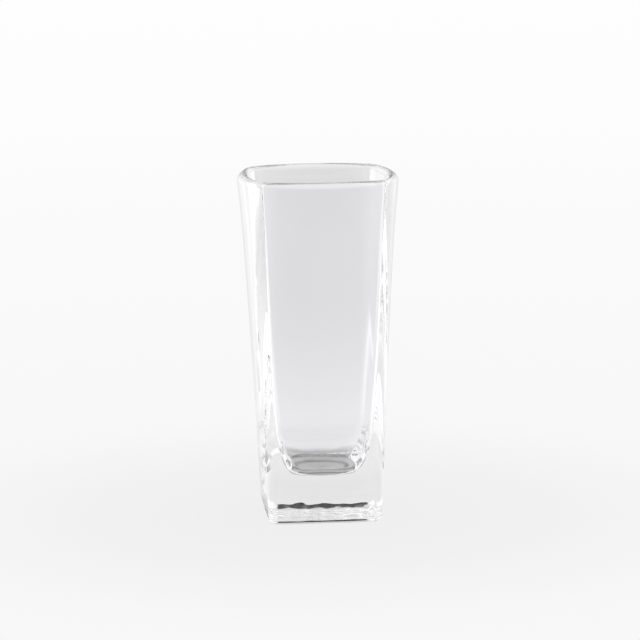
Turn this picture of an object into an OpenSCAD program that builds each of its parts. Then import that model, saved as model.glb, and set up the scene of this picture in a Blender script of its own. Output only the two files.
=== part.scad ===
// Juice glass: a clear square tumbler, tapered, with a thick solid base and a rounder mouth.
// Millimetres. Z is up, the glass stands on Z = 0 and its axis is the Z axis.
// It is one piece of glass, drawn as three zones that meet face to face: base, wall and rim.

/* [Outside] */
// Height from the table to the top of the lip
height = 137; // [115:1:165]
// Width of the foot across two opposite sides, before the heel is rounded off
foot_w = 45; // [39:0.5:52]
// Width of the mouth across two opposite sides, without the flare
mouth_w = 62.6; // [56:0.2:72]
// How far each side flares out over the last part below the lip
flare = 0.8; // [0:0.1:2]
// How far below the lip the flare begins
flare_h = 34; // [15:1:50]
// Radius of the heel, where the sides turn into the foot
heel_r = 3; // [1:0.1:3.4]

/* [From square to round] */
// Radius of the upright corners at the foot
foot_corner_r = 3.8; // [3.6:0.1:8]
// Radius of the upright corners at the mouth
mouth_corner_r = 17.5; // [12:0.5:20]
// Angle that half a side curves through at the foot
foot_bow = 0.9; // [0.2:0.1:4]
// Angle that half a side curves through at the mouth
mouth_bow = 20; // [8:0.5:22]
// How late on the way up the section turns rounder, 1 being evenly
rounding_power = 1.2; // [0.9:0.1:2.2]

/* [Glass thickness] */
// Thickness of solid glass under the cavity
sham_t = 18.5; // [13:0.1:22]
// Thickness of a side at the level of the cavity floor, in the middle and if the cavity had no bowl
low_wall_t = 5.6; // [4.6:0.1:7]
// Thickness of the lip in the middle of a side
lip_t = 5.3; // [4.8:0.1:7.5]
// Height over which the lip is rounded
lip_h = 2.5; // [1:0.1:3.4]

/* [Cavity] */
// Height of the rounded bowl at the bottom of the cavity
bowl_h = 20; // [12:0.5:30]
// Width of the flat floor of the cavity
floor_w = 22; // [21:0.5:27]
// Corner radius of the flat floor
floor_corner_r = 10.5; // [4:0.5:10.5]
// Radius of the upright corners of the cavity
cavity_corner_r = 2; // [1:0.1:6]
// Angle that half a side of the cavity curves through at the bottom
cavity_low_bow = 1.5; // [0.2:0.1:5]
// Angle that half a side of the cavity curves through at the mouth
cavity_mouth_bow = 16; // [13:0.5:20]

/* [Zones] */
// Height of the base zone, which holds the lower part of the bowl
base_h = 25; // [24:0.5:34]
// Height of the rim zone
rim_h = 5; // [4:0.5:10]

/* [Hidden] */
// Straight steps along one side and one corner of a section
side_steps = 8;
corner_steps = 8;
// Steps up the outside, up the inside, round the heel and over the lip
base_steps = 4;
wall_steps = 12;
bowl_steps = 8;
rim_steps = 3;
heel_steps = 5;
lip_steps = 10;

quarter_turn = 90;
half_turn = 180;
glass_tint = [0.80, 0.87, 0.89, 0.45];
ring_size = 4 * (side_steps + corner_steps);
rim_z = height - rim_h;
lip_z = height - lip_h;
bowl_top = sham_t + bowl_h;

// Share of the height, and of the change from square to round, at a height
function rise(z) = z / height;
function roundness(z) = pow(rise(z), rounding_power);
function blend(a, b, t) = a + (b - a) * t;
function flare_at(z) = flare * pow(max(0, (z - height + flare_h) / flare_h), 2);

// The outside: half width, corner radius and bow at a height
function out_half(z) = blend(foot_w, mouth_w, rise(z)) / 2 + flare_at(z);
function out_corner(z) = blend(foot_corner_r, mouth_corner_r, roundness(z));
function bow_at(z) = blend(foot_bow, mouth_bow, roundness(z));

// The inside: thickness of the side, and what the bowl takes off the half width
function side_t(z) = blend(low_wall_t, lip_t, (z - sham_t) / (height - sham_t));
function plain_half(z) = out_half(z) - side_t(z);
function bowl_dip(z) = pow(max(0, (bowl_top - z) / bowl_h), 2);
function bowl_share(z) = sqrt(max(0, 1 - bowl_dip(z)));
function in_half(z) = plain_half(z) - (plain_half(sham_t) - floor_w / 2) * (1 - bowl_share(z));
function in_corner(z) = blend(floor_corner_r, cavity_corner_r, bowl_share(z));
function in_bow(z) = blend(cavity_low_bow, cavity_mouth_bow, roundness(z));

// A square with bowed sides and round corners: arcs that meet with no kink
function side_radius(w, r, a) = (w - r * (cos(a) - sin(a))) / (1 - cos(a) + sin(a));
function side_point(w, r, a, d) =
    let (big = side_radius(w, r, a))
    [w - big + big * cos(d), big * sin(d)];
function corner_point(w, r, a, d) =
    let (big = side_radius(w, r, a))
    [w - big + (big - r) * cos(a) + r * cos(d), (big - r) * sin(a) + r * sin(d)];
function quarter(w, r, a) = concat(
    [for (i = [0 : side_steps]) side_point(w, r, a, -a + 2 * a * i / side_steps)],
    [for (i = [1 : corner_steps - 1])
        corner_point(w, r, a, a + (quarter_turn - 2 * a) * i / corner_steps)]
);
function turned(p, q) = [p[0] * cos(q) - p[1] * sin(q), p[0] * sin(q) + p[1] * cos(q)];
function ring(w, r, a, z) =
    [for (q = [0 : 3]) for (p = quarter(w, r, a))
        let (t = turned(p, q * quarter_turn))
        [t[0], t[1], z]];

// Rings of the outside, set in by a distance, of the inside, and of the lip, which turns one into the other
function out_ring(z, inset) = ring(out_half(z) - inset, out_corner(z) - inset, bow_at(z), z);
function in_ring(z) = ring(in_half(z), in_corner(z), in_bow(z), z);
function lip_ring(d) =
    let (s = (1 - cos(d)) / 2)
    ring(
        blend(out_half(lip_z), in_half(lip_z), s),
        blend(out_corner(lip_z), in_corner(lip_z), s),
        blend(bow_at(lip_z), in_bow(lip_z), s),
        lip_z + lip_h * sin(d));
function heights(a, b, n) = [for (i = [0 : n]) blend(a, b, i / n)];

// Triangles between rings, running on round to the first ring if the loft is closed
function band_faces(i, j) =
    [for (k = [0 : ring_size - 1])
        let (n = (k + 1) % ring_size)
        each [[i + k, j + k, j + n], [i + k, j + n, i + n]]];
module loft(rings, closed) {
    count = len(rings);
    points = [for (r = rings) each r];
    bands = [for (i = [0 : count - 2]) each band_faces(i * ring_size, (i + 1) * ring_size)];
    last = (count - 1) * ring_size;
    join = closed
        ? band_faces(last, 0)
        : [[for (k = [0 : ring_size - 1]) k],
           [for (k = [ring_size - 1 : -1 : 0]) last + k]];
    polyhedron(points = points, faces = concat(bands, join));
}

// Solid base: flat foot, rounded heel, and the lower part of the cavity's bowl on top
module base() {
    heel = [for (i = [0 : heel_steps])
        let (d = quarter_turn * i / heel_steps, z = heel_r * (1 - cos(d)))
        out_ring(z, heel_r * (1 - sin(d)))];
    side = [for (z = heights(heel_r, base_h, base_steps)) out_ring(z, 0)];
    bowl = [for (i = [0 : bowl_steps])
        let (low = acos((bowl_top - base_h) / bowl_h))
        in_ring(bowl_top - bowl_h * cos(low * (1 - i / bowl_steps)))];
    color(glass_tint)
    loft(concat(heel, [for (i = [1 : base_steps]) side[i]], bowl), false);
}

// Hollow tapered wall, closed off by nothing at either end: its ends lie on the base and the rim
module wall() {
    outside = [for (z = heights(base_h, rim_z, wall_steps)) out_ring(z, 0)];
    inside = [for (z = heights(rim_z, base_h, wall_steps)) in_ring(z)];
    color(glass_tint)
    loft(concat(outside, inside), true);
}

// Rim: the end of the wall with its lip rounded by the flame
module rim() {
    outside = [for (z = heights(rim_z, lip_z, rim_steps)) out_ring(z, 0)];
    lip = [for (i = [1 : lip_steps - 1]) lip_ring(half_turn * i / lip_steps)];
    inside = [for (z = heights(lip_z, rim_z, rim_steps)) in_ring(z)];
    color(glass_tint)
    loft(concat(outside, lip, inside), true);
}

base();
wall();
rim();
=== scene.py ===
import math

import bmesh
import bpy
from mathutils import Euler, Matrix, Vector, noise


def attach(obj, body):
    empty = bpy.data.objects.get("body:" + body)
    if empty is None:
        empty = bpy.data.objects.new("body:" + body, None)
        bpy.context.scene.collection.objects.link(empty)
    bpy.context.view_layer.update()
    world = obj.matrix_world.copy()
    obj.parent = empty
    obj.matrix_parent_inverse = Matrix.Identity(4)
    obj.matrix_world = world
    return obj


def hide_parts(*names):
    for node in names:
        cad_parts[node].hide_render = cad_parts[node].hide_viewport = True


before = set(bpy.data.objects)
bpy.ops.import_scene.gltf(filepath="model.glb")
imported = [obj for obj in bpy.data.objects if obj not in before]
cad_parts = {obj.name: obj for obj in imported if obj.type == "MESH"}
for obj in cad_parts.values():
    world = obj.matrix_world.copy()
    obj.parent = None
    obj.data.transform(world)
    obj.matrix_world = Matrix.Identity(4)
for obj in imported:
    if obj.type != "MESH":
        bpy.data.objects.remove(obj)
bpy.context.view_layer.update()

# The glass: one gob of clear soda-lime glass, pressed in a mould and then rounded at the lip by the flame.
# It is square at the foot and rounder towards the mouth, with thick solid glass under a cavity whose
# bottom is a bowl. It has no seam anywhere, so one skin stands for all three zones of the solids.
MM = 0.001
height = 137.0
foot_w = 45.0
mouth_w = 62.6
flare = 0.8
flare_h = 34.0
heel_h = 4.6
heel_in = 3.4
foot_corner_r = 3.8
mouth_corner_r = 17.5
foot_bow = math.radians(0.9)
mouth_bow = math.radians(20)
rounding_power = 1.2
sham_t = 18.5
low_wall_t = 5.6
lip_t = 5.3
lip_h = 2.5
lip_power = 1.15
bowl_h = 20.0
floor_w = 22.0
floor_corner_r = 10.5
cavity_corner_r = 2.0
cavity_low_bow = math.radians(1.5)
cavity_mouth_bow = math.radians(16)
lip_z = height - lip_h
bowl_top = sham_t + bowl_h


def blend(a, b, t):
    return a + (b - a) * t


def roundness(z):
    return (z / height) ** rounding_power


def out_half(z):
    flared = max(0, (z - height + flare_h) / flare_h) ** 2
    return blend(foot_w, mouth_w, z / height) / 2 + flare * flared


def outside(z, inset=0.0):
    corner = blend(foot_corner_r, mouth_corner_r, roundness(z))
    return out_half(z) - inset, corner - inset, blend(foot_bow, mouth_bow, roundness(z))


def plain_half(z):
    return out_half(z) - blend(low_wall_t, lip_t, (z - sham_t) / (height - sham_t))


def inside(z):
    bowl = math.sqrt(max(0, 1 - max(0, (bowl_top - z) / bowl_h) ** 2))
    half = plain_half(z) - (plain_half(sham_t) - floor_w / 2) * (1 - bowl)
    bow = blend(cavity_low_bow, cavity_mouth_bow, roundness(z))
    return half, blend(floor_corner_r, cavity_corner_r, bowl), bow


# A section of the glass is a square with bowed sides and round corners, all arcs that meet with no kink.
side_steps = 28
corner_steps = 26
quarter_steps = side_steps + corner_steps


def on_section(k, half, corner, bow):
    q, i = divmod(k, quarter_steps)
    big = (half - corner * (math.cos(bow) - math.sin(bow))) / (1 - math.cos(bow) + math.sin(bow))
    if i <= side_steps:
        turn = blend(-bow, bow, i / side_steps)
        x = half - big + big * math.cos(turn)
        y = big * math.sin(turn)
    else:
        turn = blend(bow, math.pi / 2 - bow, (i - side_steps) / corner_steps)
        x = half - big + (big - corner) * math.cos(bow) + corner * math.cos(turn)
        y = (big - corner) * math.sin(bow) + corner * math.sin(turn)
    c = math.cos(q * math.pi / 2)
    s = math.sin(q * math.pi / 2)
    return x * c - y * s, x * s + y * c


# The skin is drawn out ring by ring: from the middle of the foot, round the heel, up the outside, over the
# lip, down the inside and round the bowl to the middle of the cavity's floor.
path = []
foot_rings = 12
for i in range(1, foot_rings):
    half, corner, bow = outside(0, heel_in)
    path.append((0, half * i / foot_rings, corner * i / foot_rings, bow))
heel_rings = 16
for i in range(heel_rings):
    turn = math.pi / 2 * i / heel_rings
    z = heel_h * (1 - math.cos(turn))
    path.append((z, *outside(z, heel_in * (1 - math.sin(turn)))))
side_rings = 76
for i in range(side_rings):
    z = blend(heel_h, lip_z, i / side_rings)
    path.append((z, *outside(z)))
lip_rings = 32
for i in range(lip_rings):
    turn = math.pi * i / lip_rings
    across = (1 - math.copysign(abs(math.cos(turn)) ** lip_power, math.cos(turn))) / 2
    over = [blend(a, b, across) for a, b in zip(outside(lip_z), inside(lip_z))]
    path.append((lip_z + lip_h * math.sin(turn) ** lip_power, *over))
cavity_rings = 56
for i in range(cavity_rings):
    z = blend(lip_z, bowl_top, i / cavity_rings)
    path.append((z, *inside(z)))
bowl_rings = 44
for i in range(bowl_rings + 1):
    z = bowl_top - bowl_h * math.sin(math.pi / 2 * i / bowl_rings)
    path.append((z, *inside(z)))
floor_rings = 10
for i in range(floor_rings - 1, 0, -1):
    half, corner, bow = inside(sham_t)
    path.append((sham_t, half * i / floor_rings, corner * i / floor_rings, bow))

skin = bmesh.new()
around = skin.verts.layers.int.new("around")
ring = bmesh.ops.create_circle(skin, cap_ends=False, radius=MM, segments=4 * quarter_steps)["verts"]
edges = skin.edges[:]
for k, vert in enumerate(ring):
    vert[around] = k
for n, (z, half, corner, bow) in enumerate(path):
    if n > 0:
        drawn = bmesh.ops.extrude_edge_only(skin, edges=edges)["geom"]
        ring = [part for part in drawn if isinstance(part, bmesh.types.BMVert)]
        edges = [part for part in drawn if isinstance(part, bmesh.types.BMEdge)]
    for vert in ring:
        vert.co = Vector((*on_section(vert[around], half, corner, bow), z)) * MM
bmesh.ops.holes_fill(skin, edges=[edge for edge in skin.edges if edge.is_boundary], sides=0)
bmesh.ops.recalc_face_normals(skin, faces=skin.faces)

# Pressed glass is never quite even: it has long soft waves on the sides and stronger ones round the heel
# and the bowl. The heel at the back is taller than the one at the front, and more rippled.
wave = 7.0
fine_wave = wave / 2.3
wave_shift = Vector((9, 3, 5))
side_swell = 0.003
low_swell = 0.10
heel_swell_h = 6.0
bowl_swell_z = sham_t + 4
bowl_swell_h = 8.0
calm_z = height - 8
calm_h = 20.0
foot_calm_h = 0.6
ripple = Vector((4.0, 4.0, 2.2))
ripple_shift = Vector((2, 7, 1))
fine_ripple = Vector((1.4, 1.4, 1.2))
ripple_h = 4.0
front_ripple = 0.05
back_ripple = 0.35
front_stretch = -0.5
back_stretch = 0.15
stretch_h = 6.0
turn_depth = 6.0


def grain(at, size):
    return Vector((at.x / size.x, at.y / size.y, at.z / size.z))


skin.normal_update()
for vert in skin.verts:
    at = vert.co / MM
    rear = 0.5 + 0.5 * math.tanh(at.y / turn_depth)
    low = math.exp(-at.z / heel_swell_h) + 0.5 * math.exp(-((at.z - bowl_swell_z) / bowl_swell_h) ** 2)
    fade = min(1, max(0, (calm_z - at.z) / calm_h)) * min(1, max(0, at.z / foot_calm_h))
    swell = noise.noise(at / wave) + 0.5 * noise.noise(at / fine_wave + wave_shift)
    swell *= side_swell + low_swell * low
    rough = noise.noise(grain(at, ripple) + ripple_shift) + 0.5 * noise.noise(grain(at, fine_ripple))
    rough *= blend(front_ripple, back_ripple, rear) * math.exp(-(at.z / ripple_h) ** 2)
    stretch = blend(front_stretch, back_stretch, rear) * math.exp(-(at.z / stretch_h) ** 2)
    vert.co += vert.normal * fade * (swell + rough) * MM
    vert.co.z += stretch * at.z * MM

skin_mesh = bpy.data.meshes.new("glass")
skin.to_mesh(skin_mesh)
skin.free()
skin_mesh.polygons.foreach_set("use_smooth", [True] * len(skin_mesh.polygons))
glass = bpy.data.objects.new("glass", skin_mesh)
bpy.context.scene.collection.objects.link(glass)


class Flow:
    """A value on its way through a shader: arithmetic on it adds Math nodes, and node() adds any other."""

    def __init__(self, tree, socket=None):
        self.tree = tree
        self.socket = socket

    def node(self, kind, settings=None, sockets=None, out=0):
        made = self.tree.nodes.new(kind)
        for name, value in (settings or {}).items():
            if name == "stops":
                ramp = made.color_ramp.elements
                while len(ramp) < len(value):
                    ramp.new(0.5)
                for stop, (place, tone) in zip(ramp, value):
                    stop.position = place
                    stop.color = (tone, tone, tone, 1)
            else:
                setattr(made, name, value)
        for name, value in (sockets or {}).items():
            if isinstance(value, Flow):
                self.tree.links.new(value.socket, made.inputs[name])
            else:
                made.inputs[name].default_value = value
        return Flow(self.tree, made.outputs[out])

    def math(self, operation, *values):
        return self.node("ShaderNodeMath", {"operation": operation}, dict(enumerate(values)))

    def __add__(self, other):
        return self.math("ADD", self, other)

    def __sub__(self, other):
        return self.math("SUBTRACT", self, other)

    def __rsub__(self, other):
        return self.math("SUBTRACT", other, self)

    def __mul__(self, other):
        return self.math("MULTIPLY", self, other)

    def __truediv__(self, other):
        return self.math("DIVIDE", self, other)

    def __rtruediv__(self, other):
        return self.math("DIVIDE", other, self)

    __radd__ = __add__
    __rmul__ = __mul__


def mixed(share, first, second):
    return share.node("ShaderNodeMix", {"data_type": "RGBA"}, {0: share, 6: first, 7: second}, out=2)


def share_between(value, bottom, top, way="SMOOTHSTEP"):
    ends = {0: value, 1: bottom, 2: top, 3: 0.0, 4: 1.0}
    return value.node("ShaderNodeMapRange", {"interpolation_type": way}, ends)


# Clear glass with a faint cool trace that varies a little from place to place. It is polished all over,
# and only the foot that it stands on is worn a trace duller.
bright_glass = (0.994, 0.992, 0.999, 1)
cool_glass = (0.984, 0.982, 0.994, 1)
foot_wear = 0.03
worn_z = 0.1 * MM
polished_z = 0.5 * MM
clear_glass = bpy.data.materials.new("clear_glass")
clear_glass.use_nodes = True
shader = clear_glass.node_tree.nodes["Principled BSDF"]
shader.inputs["Transmission Weight"].default_value = 1
shader.inputs["IOR"].default_value = 1.52
spot = Flow(clear_glass.node_tree).node("ShaderNodeTexCoord", out="Object")
level = spot.node("ShaderNodeSeparateXYZ", {}, {0: spot}, out="Z")
cloud = spot.node("ShaderNodeTexNoise", {}, {"Vector": spot, "Scale": 90.0, "Detail": 2.0})
on_foot = 1 - share_between(level, worn_z, polished_z, "LINEAR")
worn = on_foot * cloud * foot_wear
tint = mixed(cloud, cool_glass, bright_glass)
clear_glass.node_tree.links.new(tint.socket, shader.inputs["Base Color"])
clear_glass.node_tree.links.new(worn.socket, shader.inputs["Roughness"])
skin_mesh.materials.append(clear_glass)

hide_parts("base", "wall", "rim")
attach(glass, "root")

# The table: one wide white sweep under and behind the glass, a hair below its foot. No lamp lights it: it
# glows, and its light and shade are painted into that glow. It was whitened in the picture, so what shows
# beside the glass is lighter than what the glass gathers from it. Under the foot it has a painted shadow,
# darkest in two rings, and further out painted light, brightest to both sides of the glass.
yaw = math.radians(5.6)
table_half = 60
table_drop = 0.06 * MM
table = bmesh.new()
bmesh.ops.create_grid(table, x_segments=1, y_segments=1, size=table_half)
bmesh.ops.translate(table, vec=(0, 0, -table_drop), verts=table.verts)
table_mesh = bpy.data.meshes.new("table")
table.to_mesh(table_mesh)
table.free()
sweep = bpy.data.objects.new("table", table_mesh)
bpy.context.scene.collection.objects.link(sweep)

# Tones by the distance from the glass's axis in millimetres, and by the way round: 0 in front, 1 behind.
# The tones shown to the camera paint a shade round the glass, darkest beside its foot.
shown_shade_tones = ((0, 0.855), (81.4, 0.875), (186, 0.935), (511.6, 0.947), (1395.3, 0.98), (2325.6, 0.99))
shadow_tones = (
    (0, 0.4), (10.9, 0.38), (12.3, 0.18), (14.4, 0.18), (16, 0.42), (20, 0.42), (22.1, 0.22),
    (24.5, 0.22), (26.4, 0.38), (32, 0.38), (48, 0.8), (96, 0.8), (160, 0.87))
floor_light_tones = ((0, 0.5), (0.2, 0.76), (0.4, 1), (0.9, 1), (0.955, 0.76), (1, 0.6))
floor_light = 1.25
side_light = 0.25
shadow_end = 0.05
open_floor = 0.5


def tones_outwards(reach, tones):
    furthest = tones[-1][0]
    stops = [(place / furthest, tone) for place, tone in tones]
    return reach.node("ShaderNodeValToRGB", {"stops": stops}, {0: reach / (furthest * MM)})


def tones_round(behind, tones):
    return behind.node("ShaderNodeValToRGB", {"stops": tones}, {0: behind * 0.5 + 0.5})


white_sweep = bpy.data.materials.new("white_sweep")
white_sweep.use_nodes = True
paint = white_sweep.node_tree.nodes["Principled BSDF"]
spot = Flow(white_sweep.node_tree).node("ShaderNodeTexCoord", out="Object")
spot = spot.node("ShaderNodeMapping", {}, {"Vector": spot, "Rotation": (0, 0, yaw)})
reach = spot.node("ShaderNodeVectorMath", {"operation": "LENGTH"}, {0: spot}, out="Value")
behind = spot.node("ShaderNodeSeparateXYZ", {}, {0: spot}, out="Y") / reach
beside = 1 - behind * behind
# Painted shadow under the foot, made lighter towards both sides by painted light.
near = tones_outwards(reach, shadow_tones) * (1 + beside * side_light)
# Painted light further out, brightest to both sides of the glass and dimmer before and behind it.
far = tones_round(behind, floor_light_tones) * floor_light
gathered = mixed(share_between(reach, shadow_end, open_floor), near, far)
# What the camera sees: a painted shade round the glass, darkest beside its foot and fading outwards.
shown = tones_outwards(reach, shown_shade_tones)
tone = mixed(spot.node("ShaderNodeLightPath", out="Is Camera Ray"), gathered, shown)
paint.inputs["Base Color"].default_value = (0, 0, 0, 1)
paint.inputs["Specular IOR Level"].default_value = 0.0
paint.inputs["Roughness"].default_value = 1.0
paint.inputs["Emission Strength"].default_value = 1.0
white_sweep.node_tree.links.new(tone.socket, paint.inputs["Emission Color"])
table_mesh.materials.append(white_sweep)

# The studio: soft light that is brightest from both sides of the glass and dimmer before and behind it.
# Low down, straight behind the glass, is one small dark gap, which its thick base gathers into a band.
low_tones = (
    (0, 0.35), (0.25, 0.72), (0.63, 1), (0.9, 1), (0.98, 0.8), (0.9955, 0.66), (0.998, 0.04), (1, 0.02))
middle_tones = (
    (0, 0.74), (0.25, 0.86), (0.63, 0.92), (0.85, 0.86), (0.953, 0.72), (0.992, 0.58), (1, 0.54))
high_tones = ((0, 0.77), (0.25, 0.89), (0.63, 0.97), (0.85, 0.94), (0.953, 0.85), (1, 0.64))
studio_light = 1.25
studio = bpy.data.worlds.new("studio")
bpy.context.scene.world = studio
studio.use_nodes = True
sky = studio.node_tree.nodes["Background"]
heading = Flow(studio.node_tree).node("ShaderNodeTexCoord", out="Generated")
heading = heading.node("ShaderNodeMapping", {}, {"Vector": heading, "Rotation": (0, 0, yaw)})
upward = heading.node("ShaderNodeSeparateXYZ", {}, {0: heading}, out="Z")
level_square = 1 - upward * upward
level_part = level_square.math("SQRT", level_square)
behind = heading.node("ShaderNodeSeparateXYZ", {}, {0: heading}, out="Y") / level_part
glow = tones_round(behind, low_tones)
for tones, bottom, top in ((middle_tones, 0.23, 0.31), (high_tones, 0.45, 0.75)):
    glow = mixed(share_between(upward, bottom, top), glow, tones_round(behind, tones))
studio.node_tree.links.new(glow.socket, sky.inputs["Color"])
sky.inputs["Strength"].default_value = studio_light

# The camera: well back with a long lens, a little above the lip, turned off the glass's front and rolled
# by a hair. Light may turn many times inside the wall on its way, or the lip would come out dark.
distance = 1.5
drop = math.radians(9.889)
roll = math.radians(0.5)
picture_w = 640
pixels_per_metre = 2520
aim = Vector((0.0004, 0, 0.07812))
inner_reflections = 32
all_bounces = 128
lens = bpy.data.cameras.new("camera")
lens.sensor_width = 36
lens.lens = pixels_per_metre * distance * lens.sensor_width / picture_w
lens.clip_start = 0.05
camera = bpy.data.objects.new("camera", lens)
bpy.context.scene.collection.objects.link(camera)
stand = aim + Vector((0, -math.cos(drop), math.sin(drop))) * distance
camera.location = Matrix.Rotation(-yaw, 3, "Z") @ stand
facing = Euler((math.pi / 2 - drop, 0, -yaw)).to_matrix() @ Matrix.Rotation(-roll, 3, "Z")
camera.rotation_euler = facing.to_euler()
bpy.context.scene.camera = camera
bpy.context.scene.view_settings.view_transform = "Standard"
bpy.context.scene.cycles.max_bounces = all_bounces
bpy.context.scene.cycles.transmission_bounces = all_bounces
bpy.context.scene.cycles.glossy_bounces = inner_reflections
bpy.context.scene.cycles.blur_glossy = 0.0
